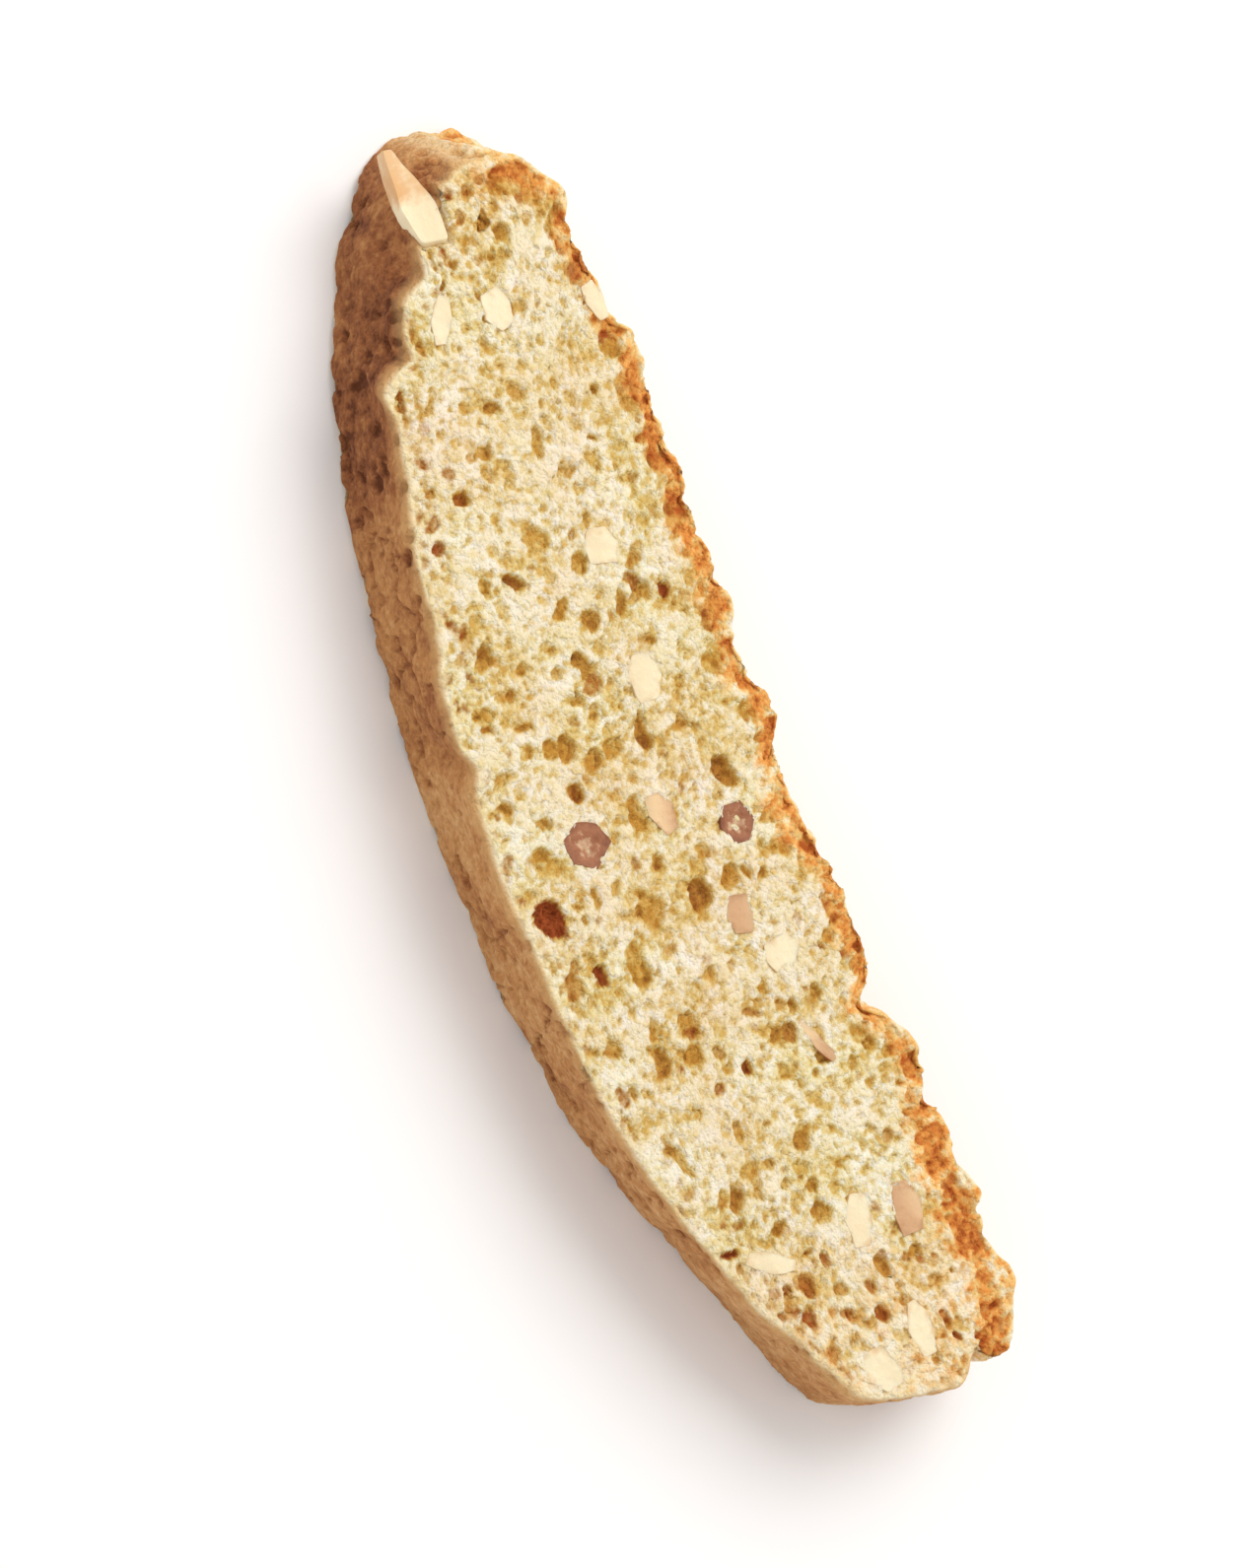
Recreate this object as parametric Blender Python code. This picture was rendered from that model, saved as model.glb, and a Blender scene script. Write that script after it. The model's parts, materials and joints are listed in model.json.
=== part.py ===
"""A single almond biscotto: one bias-cut slice of a twice-baked loaf, lying on a cut face.

Metres, +Z up. X runs along the slice, Y from the domed crust (-) to the flat base (+), and Z
through the thickness. The section and the almonds are first laid out round the loaf's middle
line. Then everything is moved so that the origin is under the middle of the slice's box, on
the face that it lies on.
"""

import math
import random

import bmesh
import bpy
from mathutils import Matrix, Vector, noise

MM = 0.001

# The slice
THICKNESS = 13.0 * MM
BIAS_SHIFT = 6.0 * MM  # how far the cut across the loaf carries the upper face along X
BIAS_FADE = (46.0 * MM, 62.0 * MM)  # the right end is fuller: its side stands upright
SECTION_STEPS = 4000  # how finely the formula is read before it is spaced out evenly
OUTLINE_POINTS = 200
SIDE_LEVELS = 8  # rows of crust between the two cut faces
RIM_ROUND = 0.35 * MM  # crumbling of the cut edges
RIM_HEIGHT = 0.5 * MM

# The section of the loaf: four quarters of superellipses that meet under the crown
CROWN_X = 11.8 * MM
SPRING_Y = 6.3 * MM
REACH_LEFT = 71.2 * MM
REACH_RIGHT = 53.4 * MM
DOME_DROP = 25.6 * MM
BASE_RISE = 6.2 * MM
DOME_POWER_LEFT = 1.88
DOME_POWER_RIGHT = 2.12
BASE_POWER = 3.6
BASE_BOW = 6.8 * MM  # the base would lift this much by the left end

# Places in mm where the edge steps in, or out if negative: x, y, depth, half width
EDGE_STEPS = (
    (-53.5, 12.5, -1.3, 2.5),
    (-42.2, 13.6, 1.0, 1.6),
    (-37.5, 13.2, -1.2, 2.4),
    (10.0, 12.5, 1.1, 2.6),
    (28.3, 12.2, 2.0, 1.8),
    (34.0, 12.2, -0.7, 2.0),
    (49.0, 11.6, -0.8, 4.0),
    (57.5, 11.2, -1.8, 3.5),
    (65.0, 7.0, 2.4, 1.9),
    (60.5, -5.0, -1.8, 5.0),
    (-7.2, -18.1, 1.1, 1.8),
    (-42.0, -9.6, -1.6, 2.2),
    (-45.3, -8.1, 0.9, 0.9),
)

# The dome edge of the upper face is chipped back between these, and the crust below is whole
CHIP_FROM_X = -57.0 * MM
CHIP_TO_X = -49.5 * MM
CHIP_FADE = (6.0 * MM, 3.5 * MM)
CHIP_DEPTH = 2.2 * MM
CHIP_HEIGHT = 7.0 * MM

# Crust relief: (size of the lumps, height), all round and on the rougher base alone
BROAD_LUMPS = ((19.0 * MM, 0.50 * MM), (8.0 * MM, 0.30 * MM))
BASE_LUMPS = ((4.2 * MM, 0.60 * MM), (2.7 * MM, 0.40 * MM))

POCKET_GAP = 0.3 * MM
POCKET_RISE = 1.2 * MM
CHUNK_CORNERS = 6
CHUNK_POWER = 4.5  # how square a chunk is
CHUNK_TURN_JITTER = 0.2  # share of the angle between two corners
CHUNK_JITTER = 0.14  # share of a chunk's size
CHUNK_RINGS = ((0.0, 1.0), (0.45, 1.05), (1.0, 0.7))  # shares of its depth and of its size

# Chopped almonds in the upper face: x, y, length, width, depth, turn in degrees, kind
UPPER_ALMONDS = (
    (-46.0, 2.9, 4.4, 3.3, 3.2, 10, "blanched"),
    (-47.0, -2.7, 5.0, 2.3, 3.0, -24, "blanched"),
    (-43.2, 12.6, 4.2, 2.2, 3.4, 8, "blanched"),
    (-21.8, 3.2, 3.7, 3.8, 3.5, -18, "blanched"),
    (-8.8, 2.2, 5.0, 3.7, 3.6, -8, "blanched"),
    (3.6, -1.6, 4.4, 2.9, 3.0, 6, "toasted"),
    (7.3, 5.1, 4.2, 3.9, 3.6, -4, "brown_skin"),
    (3.3, -9.9, 4.6, 4.9, 3.8, 38, "brown_skin"),
    (15.3, 1.7, 4.4, 2.9, 3.0, -14, "toasted"),
    (20.2, 4.2, 3.4, 4.1, 3.0, 5, "blanched"),
    (29.3, 3.9, 5.6, 1.2, 2.4, 20, "toasted"),
    (47.4, 5.7, 5.7, 3.3, 3.4, -8, "toasted"),
    (46.4, 0.6, 5.8, 3.2, 3.2, -16, "blanched"),
    (58.2, 2.2, 6.2, 2.9, 3.4, -2, "blanched"),
    (60.1, -3.1, 4.8, 3.8, 3.6, 12, "blanched"),
    (46.4, -9.3, 5.6, 2.2, 3.0, 59, "blanched"),
)

# The sliver that stands out at the left end, across the edge between face and crust
END_SLIVER_AT = (-58.7 * MM, 0.1 * MM, THICKNESS - 1.4 * MM)
END_SLIVER_SIZE = (11.6 * MM, 4.6 * MM, 4.0 * MM)
END_SLIVER_TAPER = 0.5  # width of its far end, as a share of the near one
END_SLIVER_SLOPE = -16.0  # degrees, down towards the left end

# Almonds in the lower face and in the base crust
LOWER_ALMOND_COUNT = 9
LOWER_KINDS = ("blanched", "blanched", "toasted", "brown_skin")
LOWER_REACH_X = (-56.0 * MM, 46.0 * MM)
LOWER_REACH_Y = (-12.0 * MM, 8.0 * MM)
LOWER_SPACING = 9.0 * MM
LOWER_DEPTH = 2.8 * MM
LOWER_RECESS = 0.35 * MM  # they sit this far up, clear of what the slice lies on
BASE_SLIVERS = ((-26.0, 6.2, 8.5, 2.8), (17.0, 7.2, 6.8, 3.2), (44.0, 5.6, 5.2, 2.6))
BASE_SLIVER_DEPTH = 2.6 * MM
BASE_SLIVER_STANDS = 0.1 * MM
SEED = 11

DOUGH_COLOUR = (0.80, 0.58, 0.29, 1.0)
ALMOND_COLOURS = {
    "blanched": (0.86, 0.70, 0.46, 1.0),
    "toasted": (0.80, 0.52, 0.25, 1.0),
    "brown_skin": (0.46, 0.22, 0.11, 1.0),
}


def clear_scene():
    for obj in list(bpy.data.objects):
        bpy.data.objects.remove(obj, do_unlink=True)


def new_collection(name):
    collection = bpy.data.collections.new(name)
    bpy.context.scene.collection.children.link(collection)
    return collection


def new_material(name, colour, roughness):
    material = bpy.data.materials.new(name)
    material.use_nodes = True
    shader = material.node_tree.nodes["Principled BSDF"]
    shader.inputs["Base Color"].default_value = colour
    shader.inputs["Roughness"].default_value = roughness
    material.diffuse_color = colour
    return material


def bump(distance, half_width):
    """1 at the middle of a feature, falling smoothly to 0 over about two half widths."""
    return math.exp(-((distance / half_width) ** 2))


def s_curve(share):
    """0 below 0, 1 above 1, and a smooth rise between."""
    share = min(max(share, 0.0), 1.0)
    return share * share * (3 - 2 * share)


def section_point(angle):
    """A point of the smooth section. Angle 0 is the right end, 90 degrees the base."""
    across, up = math.cos(angle), math.sin(angle)
    reach = REACH_RIGHT if across > 0 else REACH_LEFT
    dome_power = DOME_POWER_RIGHT if across > 0 else DOME_POWER_LEFT
    height, power = (BASE_RISE, BASE_POWER) if up > 0 else (DOME_DROP, dome_power)
    x = CROWN_X + math.copysign(reach * abs(across) ** (2 / power), across)
    y = SPRING_Y + math.copysign(height * abs(up) ** (2 / power), up)
    if up > 0:
        towards_left = (CROWN_X - x) / (CROWN_X + REACH_LEFT)
        y += BASE_BOW * max(towards_left, 0) ** 2 * up
    return Vector((x, y))


def evenly_spaced(points, count):
    """The closed polyline through points, read at count equal steps of its length."""
    closed = points + points[:1]
    lengths = [0.0]
    for a, b in zip(closed, closed[1:]):
        lengths.append(lengths[-1] + (b - a).length)
    found, i = [], 0
    for k in range(count):
        wanted = lengths[-1] * k / count
        while lengths[i + 1] < wanted:
            i += 1
        share = (wanted - lengths[i]) / (lengths[i + 1] - lengths[i])
        found.append(closed[i].lerp(closed[i + 1], share))
    return found


def outline():
    """The section's points, evenly spaced, with the outward normal at each."""
    turns = [(step + 0.5) / SECTION_STEPS for step in range(SECTION_STEPS)]
    fine = [section_point(2 * math.pi * turn) for turn in turns]
    points = evenly_spaced(fine, OUTLINE_POINTS)
    normals = []
    for k, _ in enumerate(points):
        along = points[(k + 1) % OUTLINE_POINTS] - points[k - 1]
        normals.append(Vector((along.y, -along.x)).normalized())
    return points, normals


def base_share(normal):
    """1 on the flat base, 0 on the dome, in between round the ends."""
    return min(max(0.5 + normal.y, 0.0), 1.0)


def relief(spot, base):
    """How far the crust's lumps stand out at a point of the smooth side surface."""
    swell = sum(height * noise.noise(spot / size) for size, height in BROAD_LUMPS)
    return swell + base * sum(height * noise.noise(spot / size) for size, height in BASE_LUMPS)


def edge_offset(point, normal, height):
    """How far the side surface lies outside the smooth section there."""
    base = base_share(normal)
    offset = relief(Vector((point.x, point.y, height)), base)
    for x, y, depth, half_width in EDGE_STEPS:
        away = (point - Vector((x, y)) * MM).length
        offset -= depth * MM * bump(away, half_width * MM)
    if base < 0.5:
        chip = s_curve((point.x - CHIP_FROM_X) / CHIP_FADE[0])
        chip *= s_curve((CHIP_TO_X - point.x) / CHIP_FADE[1])
        chip *= s_curve((height - THICKNESS + CHIP_HEIGHT) / CHIP_HEIGHT)
        offset -= CHIP_DEPTH * chip
    rim = min(height, THICKNESS - height)
    if rim < RIM_HEIGHT:
        offset -= RIM_ROUND * (1 - rim / RIM_HEIGHT) ** 2
    return offset


def extruded_outline(points):
    """The section as a flat curve, extruded to the thickness and turned into a mesh."""
    curve = bpy.data.curves.new("section", "CURVE")
    curve.dimensions = "2D"
    curve.fill_mode = "BOTH"
    curve.extrude = THICKNESS / 2
    spline = curve.splines.new("POLY")
    spline.points.add(len(points) - 1)
    for spot, point in zip(spline.points, points):
        spot.co = (point.x, point.y, 0.0, 1.0)
    spline.use_cyclic_u = True
    guide = bpy.data.objects.new("section", curve)
    bpy.context.scene.collection.objects.link(guide)
    bpy.context.view_layer.update()
    graph = bpy.context.evaluated_depsgraph_get()
    mesh = bpy.data.meshes.new_from_object(guide.evaluated_get(graph))
    bpy.data.objects.remove(guide, do_unlink=True)
    mesh.transform(Matrix.Translation((0, 0, THICKNESS / 2)))
    return mesh


def shaped_slice(collection, material):
    """The whole slice: extruded section, cut on the bias, with its crust relief."""
    points, normals = outline()
    mesh = extruded_outline(points)
    form = bmesh.new()
    form.from_mesh(mesh)
    bmesh.ops.remove_doubles(form, verts=form.verts, dist=0.01 * MM)
    upright = [e for e in form.edges if abs(e.verts[0].co.z - e.verts[1].co.z) > 0.5 * THICKNESS]
    bmesh.ops.subdivide_edges(form, edges=upright, cuts=SIDE_LEVELS + 1, use_grid_fill=True)
    nearest = {(round(p.x, 6), round(p.y, 6)): k for k, p in enumerate(points)}
    for vert in form.verts:
        k = nearest[(round(vert.co.x, 6), round(vert.co.y, 6))]
        row = round(vert.co.z / THICKNESS * (SIDE_LEVELS + 2))
        height = level_height(row)
        offset = edge_offset(points[k], normals[k], height)
        spot = points[k] + normals[k] * offset
        bias = BIAS_SHIFT * (1 - s_curve((spot.x - BIAS_FADE[0]) / (BIAS_FADE[1] - BIAS_FADE[0])))
        vert.co = (spot.x - bias * (1 - height / THICKNESS), spot.y, height)
    bmesh.ops.recalc_face_normals(form, faces=form.faces)
    form.to_mesh(mesh)
    form.free()
    mesh.materials.clear()
    mesh.materials.append(material)
    mesh.name = "biscotto"
    body = bpy.data.objects.new("biscotto", mesh)
    collection.objects.link(body)
    return body


def level_height(row):
    """Heights of the side rows: one close to each cut face, the others evenly between."""
    last = SIDE_LEVELS + 2
    if row in (0, last):
        return THICKNESS * (row > 0)
    inner = (row - 1) / SIDE_LEVELS
    return RIM_HEIGHT + (THICKNESS - 2 * RIM_HEIGHT) * inner


def chunk(name, size, seed, grow=0.0, rise=0.0, taper=1.0):
    """An almond chunk with its cut side up at z 0: the hull of three uneven rings.

    A pocket's cutter is the same hull, larger by grow and with its top raised by rise.
    """
    dice = random.Random(seed)
    length, width, depth = size
    form = bmesh.new()
    for corner in range(CHUNK_CORNERS):
        jitter = dice.uniform(-CHUNK_TURN_JITTER, CHUNK_TURN_JITTER)
        angle = 2 * math.pi * (corner + 0.5 + jitter) / CHUNK_CORNERS
        across, along = math.cos(angle), math.sin(angle)
        reach = (abs(across) ** CHUNK_POWER + abs(along) ** CHUNK_POWER) ** (-1 / CHUNK_POWER)
        reach *= 1 - CHUNK_JITTER * dice.random()
        narrow = taper + (1 - taper) * (across + 1) / 2
        for depth_share, size_share in CHUNK_RINGS:
            x = across * reach * size_share * length / 2
            y = along * reach * size_share * narrow * width / 2
            z = -depth * depth_share
            z += rise if depth_share == 0 else -grow * (depth_share == 1)
            form.verts.new((x + math.copysign(grow, x), y + math.copysign(grow, y), z))
    hull = bmesh.ops.convex_hull(form, input=form.verts)
    unused = [v for v in hull["geom_interior"] if isinstance(v, bmesh.types.BMVert)]
    bmesh.ops.delete(form, geom=unused, context="VERTS")
    bmesh.ops.recalc_face_normals(form, faces=form.faces)
    mesh = bpy.data.meshes.new(name)
    form.to_mesh(mesh)
    form.free()
    return bpy.data.objects.new(name, mesh)


def upper_almonds():
    """Size, place, kind and taper of each chunk in the upper face."""
    for x, y, length, width, depth, turn, kind in UPPER_ALMONDS:
        place = Matrix.Translation((x * MM, y * MM, THICKNESS))
        place @= Matrix.Rotation(math.radians(turn), 4, "Z")
        yield (length * MM, width * MM, depth * MM), place, kind, 1.0


def lower_almonds():
    """The same for the lower face, scattered by a seeded draw and kept apart."""
    dice = random.Random(SEED)
    turned_over = Matrix.Rotation(math.pi, 4, "X")
    taken = []
    while len(taken) < LOWER_ALMOND_COUNT:
        spot = Vector((dice.uniform(*LOWER_REACH_X), dice.uniform(*LOWER_REACH_Y)))
        if any((spot - other).length < LOWER_SPACING for other in taken):
            continue
        taken.append(spot)
        size = (dice.uniform(3.6, 5.6) * MM, dice.uniform(2.6, 3.8) * MM, LOWER_DEPTH)
        turn = Matrix.Rotation(dice.uniform(0, math.pi), 4, "Z")
        place = Matrix.Translation((spot.x, spot.y, LOWER_RECESS)) @ turn @ turned_over
        yield size, place, dice.choice(LOWER_KINDS), 1.0


def base_slivers():
    """Almonds that lie nearly flush in the browned base crust."""
    outwards = Matrix.Rotation(-math.pi / 2, 4, "X")
    for x, height, length, width in BASE_SLIVERS:
        towards_left = (CROWN_X - x * MM) / (CROWN_X + REACH_LEFT)
        side = SPRING_Y + BASE_RISE + BASE_BOW * max(towards_left, 0) ** 2
        spot = (x * MM, side + BASE_SLIVER_STANDS, height * MM)
        size = (length * MM, width * MM, BASE_SLIVER_DEPTH)
        yield size, Matrix.Translation(spot) @ outwards, "toasted", 1.0


def end_sliver():
    """The almond that stands out at the left end, sloping down from the upper face."""
    slope = Matrix.Rotation(math.radians(END_SLIVER_SLOPE), 4, "Y")
    yield END_SLIVER_SIZE, Matrix.Translation(END_SLIVER_AT) @ slope, "blanched", END_SLIVER_TAPER


def centre_on_origin(body):
    """Moves everything so that the slice stands over the origin, on its lower face."""
    bpy.context.view_layer.update()
    corners = [body.matrix_world @ Vector(c) for c in body.bound_box]
    middle_x = (min(c.x for c in corners) + max(c.x for c in corners)) / 2
    middle_y = (min(c.y for c in corners) + max(c.y for c in corners)) / 2
    for obj in bpy.data.objects:
        obj.matrix_world = Matrix.Translation((-middle_x, -middle_y, 0)) @ obj.matrix_world


def main():
    clear_scene()
    parts = new_collection("almond_biscotto")
    cutters = new_collection("pocket_cutters")
    materials = {kind: new_material(kind, c, 0.45) for kind, c in ALMOND_COLOURS.items()}
    body = shaped_slice(parts, new_material("baked_dough", DOUGH_COLOUR, 0.85))

    almonds = [*upper_almonds(), *lower_almonds(), *base_slivers(), *end_sliver()]
    for number, (size, place, kind, taper) in enumerate(almonds, start=1):
        piece = chunk(f"almond_{number:02d}", size, SEED + number, taper=taper)
        piece.matrix_world = place
        piece.data.materials.append(materials[kind])
        parts.objects.link(piece)

        pocket = f"pocket_{number:02d}"
        cutter = chunk(pocket, size, SEED + number, POCKET_GAP, POCKET_RISE, taper)
        cutter.matrix_world = place
        cutter.hide_render = True
        cutter.display_type = "WIRE"
        cutters.objects.link(cutter)
    centre_on_origin(body)

    pockets = body.modifiers.new("pockets", "BOOLEAN")
    pockets.operation = "DIFFERENCE"
    pockets.solver = "EXACT"
    pockets.operand_type = "COLLECTION"
    pockets.collection = cutters


main()
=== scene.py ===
import json
import math

import bpy
import numpy as np
from mathutils import Matrix, Vector

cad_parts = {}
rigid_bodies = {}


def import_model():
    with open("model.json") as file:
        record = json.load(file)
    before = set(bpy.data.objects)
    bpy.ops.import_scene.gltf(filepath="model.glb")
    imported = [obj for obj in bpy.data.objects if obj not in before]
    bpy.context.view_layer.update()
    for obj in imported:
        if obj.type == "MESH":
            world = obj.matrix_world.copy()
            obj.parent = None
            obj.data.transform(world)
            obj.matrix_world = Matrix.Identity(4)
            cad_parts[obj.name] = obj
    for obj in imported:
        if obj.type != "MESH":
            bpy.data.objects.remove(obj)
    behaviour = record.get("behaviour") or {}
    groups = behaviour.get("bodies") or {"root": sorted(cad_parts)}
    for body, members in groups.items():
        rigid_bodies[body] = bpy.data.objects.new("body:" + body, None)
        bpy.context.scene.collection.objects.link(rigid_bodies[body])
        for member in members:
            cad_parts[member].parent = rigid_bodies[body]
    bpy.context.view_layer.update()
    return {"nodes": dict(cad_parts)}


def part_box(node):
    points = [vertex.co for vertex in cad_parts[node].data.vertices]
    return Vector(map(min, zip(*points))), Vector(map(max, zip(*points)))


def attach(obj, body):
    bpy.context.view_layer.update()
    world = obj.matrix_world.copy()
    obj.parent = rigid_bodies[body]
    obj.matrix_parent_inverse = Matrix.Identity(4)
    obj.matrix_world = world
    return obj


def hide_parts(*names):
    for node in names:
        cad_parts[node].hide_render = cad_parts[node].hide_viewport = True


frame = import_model()
mm = 0.001
print("frame loaded:", len(frame["nodes"]), "nodes")


# a hex colour as seen on screen, turned into the linear values that shaders use
def linearColour(hexText):
    values = [int(hexText[i : i + 2], 16) / 255 for i in (1, 3, 5)]
    return (*[v / 12.92 if v <= 0.04045 else ((v + 0.055) / 1.055) ** 2.4 for v in values], 1.0)


# adds a node with its settings, links or fills its inputs, and gives the wanted output
def addNode(tree, kind, inputs=None, out=0, stops=(), **settings):
    node = tree.nodes.new("ShaderNode" + kind)
    for name, value in settings.items():
        setattr(node, name, value)
    for number, (place, colour) in enumerate(stops):
        if number > 1:
            node.color_ramp.elements.new(place)
        node.color_ramp.elements[number].position = place
        node.color_ramp.elements[number].color = linearColour(colour)
    for name, value in (inputs or {}).items():
        if isinstance(value, bpy.types.NodeSocket):
            tree.links.new(value, node.inputs[name])
        else:
            node.inputs[name].default_value = value
    return node if out is None or not node.outputs else node.outputs[out]


# 0 below low, 1 above high, and an S curve between
def smoothStep(values, low, high):
    t = np.clip((values - low) / (high - low), 0.0, 1.0)
    return t * t * (3 - 2 * t)


# smooth noise in -1..1: a random value at each corner of a cubic lattice of the given size,
# blended across the cell by a fifth-power S curve. The large numbers only stir a corner's place
# and the seed into its value
def latticeNoise(points, size, seed):
    scaled = points / size + 1000.5 + 17.3 * seed
    cell = np.floor(scaled).astype(np.int64)
    f = scaled - cell
    w = f * f * f * (f * (f * 6 - 15) + 10)
    total = np.zeros(len(points))
    for corner in range(8):
        step = np.array([corner & 1, corner >> 1 & 1, corner >> 2 & 1])
        c = cell + step
        h = (c[:, 0] * 73856093) ^ (c[:, 1] * 19349663) ^ (c[:, 2] * 83492791) ^ (seed * 2654435)
        h = (h ^ (h >> 13)) * 1274126177 & 0x7FFFFFFF
        h = (h ^ (h >> 15)) * 40503 & 0x7FFFFFFF
        value = (h >> 7 & 0xFFFF) / 32767.5 - 1
        share = np.where(step == 1, w, 1 - w).prod(axis=1)
        total += value * share
    return total


# several layers of the noise above, each half the size and strength of the last
def layeredNoise(points, size, layers, seed):
    total = np.zeros(len(points))
    for layer in range(layers):
        total += latticeNoise(points, size / 2**layer, seed + layer) / 2**layer
    return total / (2 - 2 ** (1 - layers))


# a mesh object from points in mm, faces and one number for each point in each attribute
def gridMesh(name, points, faces, attributes=None):
    mesh = bpy.data.meshes.new(name)
    mesh.from_pydata((points * mm).tolist(), [], faces)
    for key, values in (attributes or {}).items():
        layer = mesh.attributes.new(key, "FLOAT", "POINT")
        layer.data.foreach_set("value", values.astype(np.float32))
    mesh.shade_smooth()
    piece = bpy.data.objects.new(name, mesh)
    bpy.context.scene.collection.objects.link(piece)
    return piece


low, high = (np.array(corner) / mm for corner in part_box("biscotto"))
loaf = {
    "thickness": high[2] - low[2],
    "biasShift": 6.0,  # how far the bias cut carries the upper face along X
    "biasFade": (46.0, 62.0),  # the right end stands upright
    "crownX": 11.8,  # where the slice is widest
    "springY": 6.3,  # the line where dome and base meet
    "reachLeft": 71.2,  # from the crown to the ends
    "reachRight": 53.4,
    "domeDrop": 25.6,  # from the spring line to the dome and the base
    "baseRise": 6.2,
    "domePowerLeft": 1.88,  # 2 is an ellipse, more is squarer
    "domePowerRight": 2.12,
    "basePower": 3.6,
    "baseBow": 6.8,  # how far the base lifts by the left end
    # lumps of the crust: strength, size, seed
    "lumps": [(0.42, 15.0, 1), (0.34, 6.5, 2)],
    "baseLumps": [(0.5, 3.6, 3), (0.4, 2.0, 4)],
    "grain": (0.1, 0.16, 1.2, 5),  # everywhere, more on the base, size, seed
    "domeLumps": (0.22, 3.0, 6),
    # places where the edge steps in, or out if negative: x, y, depth, half width, and how far
    # down the crust it reaches
    "edgeSteps": [
        (-53.5, 12.5, -1.3, 2.5, 40),
        (-42.2, 13.6, 1.0, 1.6, 40),
        (-37.5, 13.2, -1.2, 2.4, 40),
        (10.0, 12.5, 1.1, 2.6, 40),
        (28.3, 12.2, 2.0, 1.8, 40),
        (34.0, 12.2, -0.7, 2.0, 40),
        (49.0, 11.6, -0.8, 4.0, 40),
        (57.5, 11.2, -1.8, 3.5, 40),
        (65.0, 7.0, 2.4, 1.9, 40),
        (60.5, -5.0, -1.8, 5.0, 40),
        (-7.2, -18.1, 1.1, 1.8, 15),
        (-42.0, -9.6, -1.6, 2.2, 6),
        (-45.3, -8.1, 0.9, 0.9, 6),
    ],
    "chip": {
        "from": -57.0,
        "to": -49.5,
        "fadeIn": 6.0,
        "fadeOut": 3.5,
        "depth": 2.2,
        "height": 7.0,
    },
    "around": 920,  # points round the outline
    "pathSteps": 6001,  # how finely the formula is read before it is spaced out evenly
    "middleInset": 0.07,  # share of the length that the middle line leaves free at each end
    "moveX": 0.043,  # from the loaf's own middle line to the middle of the frame's box
    "moveY": 2.134,
}
thickness = loaf["thickness"]


# the section: x and y follow |cos| and |sin| raised to 2/power, a superellipse for each quarter
def sectionPoints(angle):
    across, up = np.cos(angle), np.sin(angle)
    reach = np.where(across > 0, loaf["reachRight"], loaf["reachLeft"])
    height = np.where(up > 0, loaf["baseRise"], loaf["domeDrop"])
    domePower = np.where(across > 0, loaf["domePowerRight"], loaf["domePowerLeft"])
    power = np.where(up > 0, loaf["basePower"], domePower)
    x = loaf["crownX"] + np.sign(across) * reach * np.abs(across) ** (2 / power)
    y = loaf["springY"] + np.sign(up) * height * np.abs(up) ** (2 / power)
    towardsLeft = np.clip((loaf["crownX"] - x) / (loaf["crownX"] + loaf["reachLeft"]), 0, None)
    y += np.where(up > 0, loaf["baseBow"] * towardsLeft**2 * up, 0)
    return np.stack([x, y], axis=1)


# points at equal steps of a path's length
def evenPath(path, count):
    steps = np.linalg.norm(np.diff(path, axis=0), axis=1)
    along = np.concatenate([[0], np.cumsum(steps)])
    wanted = np.linspace(0, along[-1], count + 1)
    return np.stack([np.interp(wanted, along, path[:, i]) for i in (0, 1)], axis=1)


half = loaf["around"] // 2
domePath = evenPath(sectionPoints(np.linspace(math.pi, 2 * math.pi, loaf["pathSteps"])), half)
basePath = evenPath(sectionPoints(np.linspace(math.pi, 0, loaf["pathSteps"])), half)
outline = np.concatenate([domePath[:-1], basePath[:0:-1]])
count = len(outline)
tangent = np.roll(outline, -1, axis=0) - np.roll(outline, 1, axis=0)
tangent /= np.linalg.norm(tangent, axis=1)[:, None]
outward = np.stack([tangent[:, 1], -tangent[:, 0]], axis=1)
baseShare = np.clip(0.5 + outward[:, 1], 0, 1)

# the middle line: half way between the dome and the base, ending short of the slice's ends
fromLeft = np.minimum(np.arange(count), count - np.arange(count)) / half
middleShare = loaf["middleInset"] + (1 - 2 * loaf["middleInset"]) * fromLeft
middlePath = (domePath + basePath) / 2
pathShare = np.linspace(0, 1, half + 1)
middle = np.stack([np.interp(middleShare, pathShare, middlePath[:, i]) for i in (0, 1)], axis=1)


# how far the crust lies outside the smooth section: broad lumps everywhere, finer ones on the
# base and round the ends, bell-shaped steps, and the chip, a product of three S curves
def crustOffset(height):
    spots = np.column_stack([outline, np.zeros(count) + height])

    def lumps(table):
        return sum(strength * latticeNoise(spots, size, seed) for strength, size, seed in table)

    offset = lumps(loaf["lumps"])
    offset += baseShare * lumps(loaf["baseLumps"])
    everywhere, more, size, seed = loaf["grain"]
    offset += (everywhere + more * baseShare) * latticeNoise(spots, size, seed)
    strength, size, seed = loaf["domeLumps"]
    offset += (1 - baseShare) * strength * latticeNoise(spots, size, seed)
    for x, y, depth, width, reach in loaf["edgeSteps"]:
        away = np.linalg.norm(outline - (x, y), axis=1)
        reached = smoothStep(height, thickness - reach, thickness)
        offset -= depth * np.exp(-((away / width) ** 2)) * reached
    chip = loaf["chip"]
    chipped = smoothStep(outline[:, 0], chip["from"], chip["from"] + chip["fadeIn"])
    chipped *= 1 - smoothStep(outline[:, 0], chip["to"] - chip["fadeOut"], chip["to"])
    chipped *= smoothStep(height, thickness - chip["height"], thickness) * (baseShare <= 0.5)
    return offset - chip["depth"] * chipped


# how far the bias cut shifts a spot back at a height below the upper face
def biasShift(x, height):
    return loaf["biasShift"] * (1 - smoothStep(x, *loaf["biasFade"])) * (1 - height / thickness)


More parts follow.
